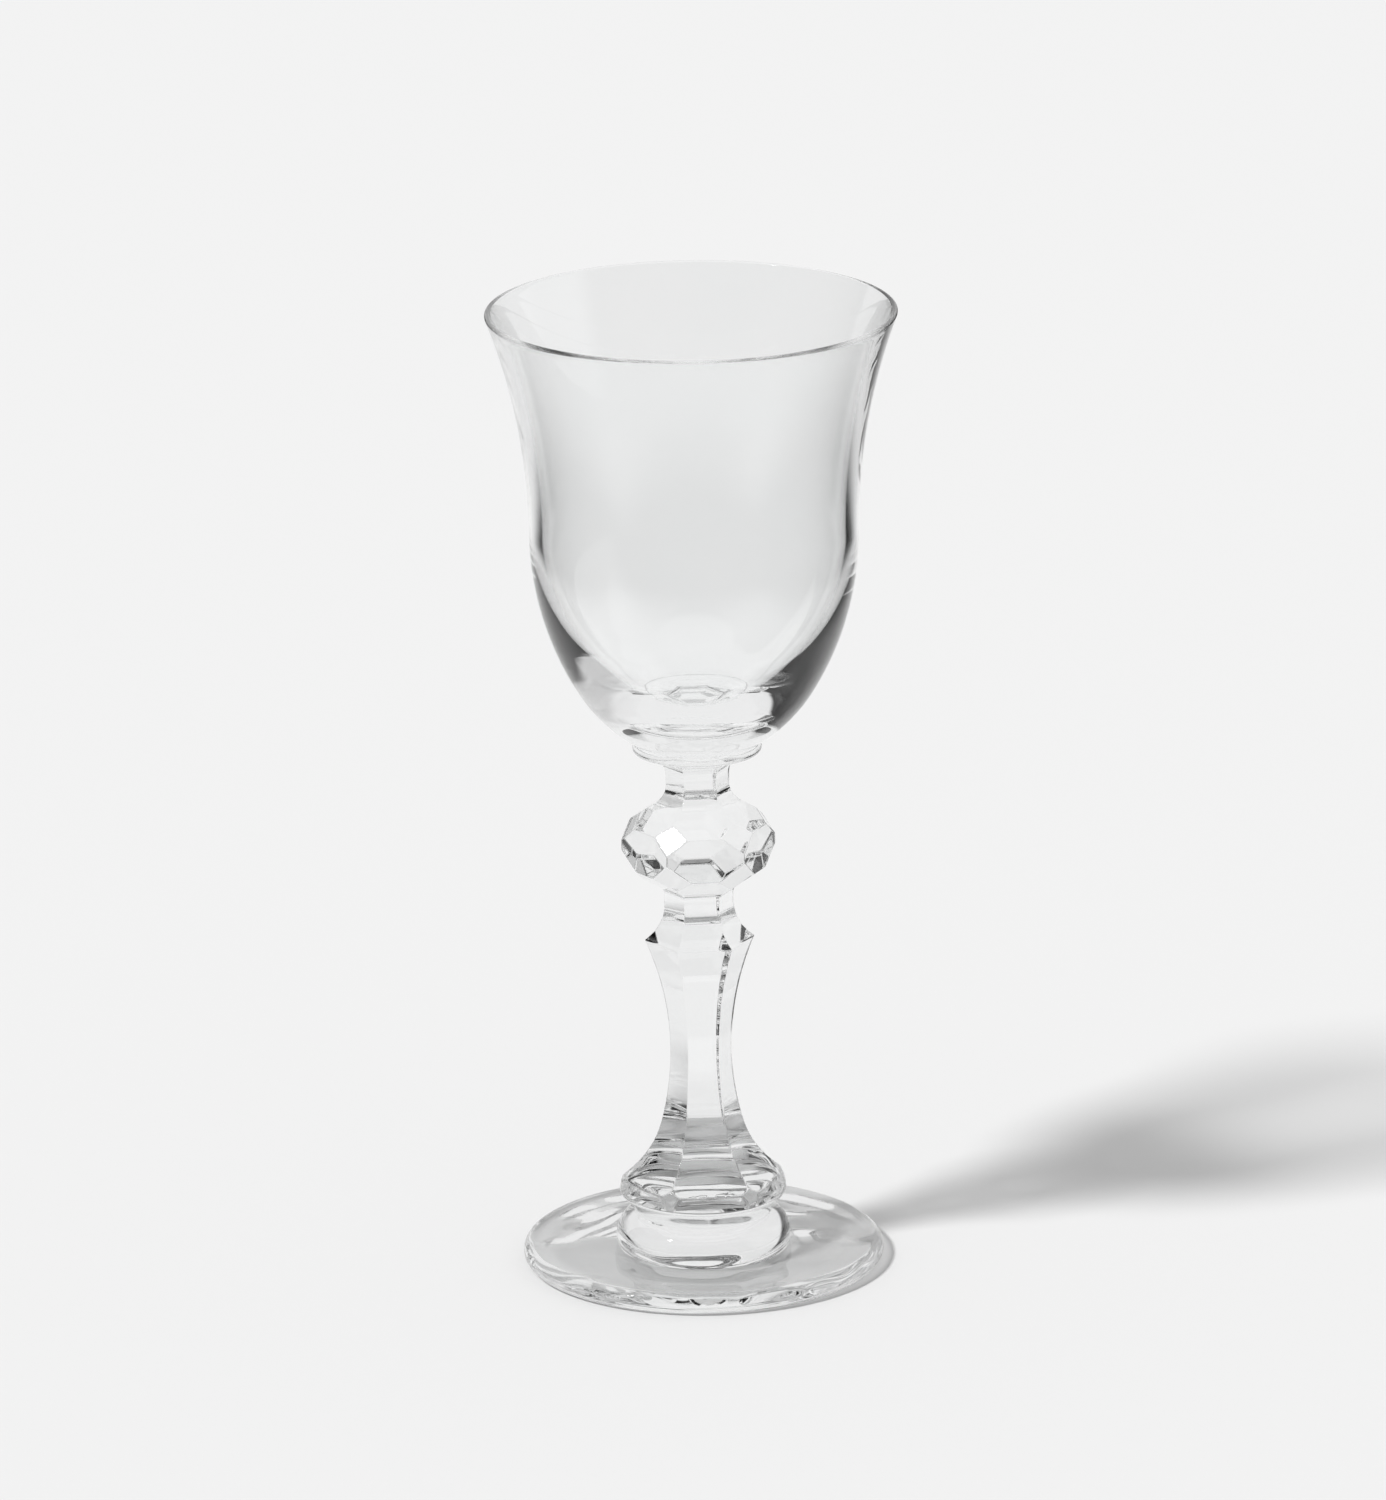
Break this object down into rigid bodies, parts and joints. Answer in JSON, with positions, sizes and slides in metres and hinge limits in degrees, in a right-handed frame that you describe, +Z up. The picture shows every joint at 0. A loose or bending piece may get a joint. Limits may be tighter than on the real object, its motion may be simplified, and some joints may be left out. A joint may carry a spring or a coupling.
{
  "type": "cordial glass",
  "caption": "Small stemmed cordial glass: bell bowl with a flared lip, six-sided cut stem with a faceted knop, flared skirt, round basal knop and flat round foot.",
  "frame": {"origin": "centre of the ring under the foot that stands on the table, at table height", "axes": "+Z up along the stem's axis; -Y square to one facet of the stem, the front; +X to the right seen from the front"},
  "size_m": [0.0578, 0.0578, 0.14],
  "materials": {
    "bowl": "clear, blown, fire-polished lip",
    "merese": "clear, fire-polished",
    "knop": "clear, cut and polished facets",
    "baluster": "clear, cut and polished facets",
    "basal_knop": "clear, fire-polished",
    "foot": "clear, fire-polished"
  },
  "bodies": {
    "root": {"bowl": "bowl", "merese": "merese", "knop": "knop", "baluster": "baluster", "basal_knop": "basal_knop", "foot": "foot"}
  },
  "joints": []
}
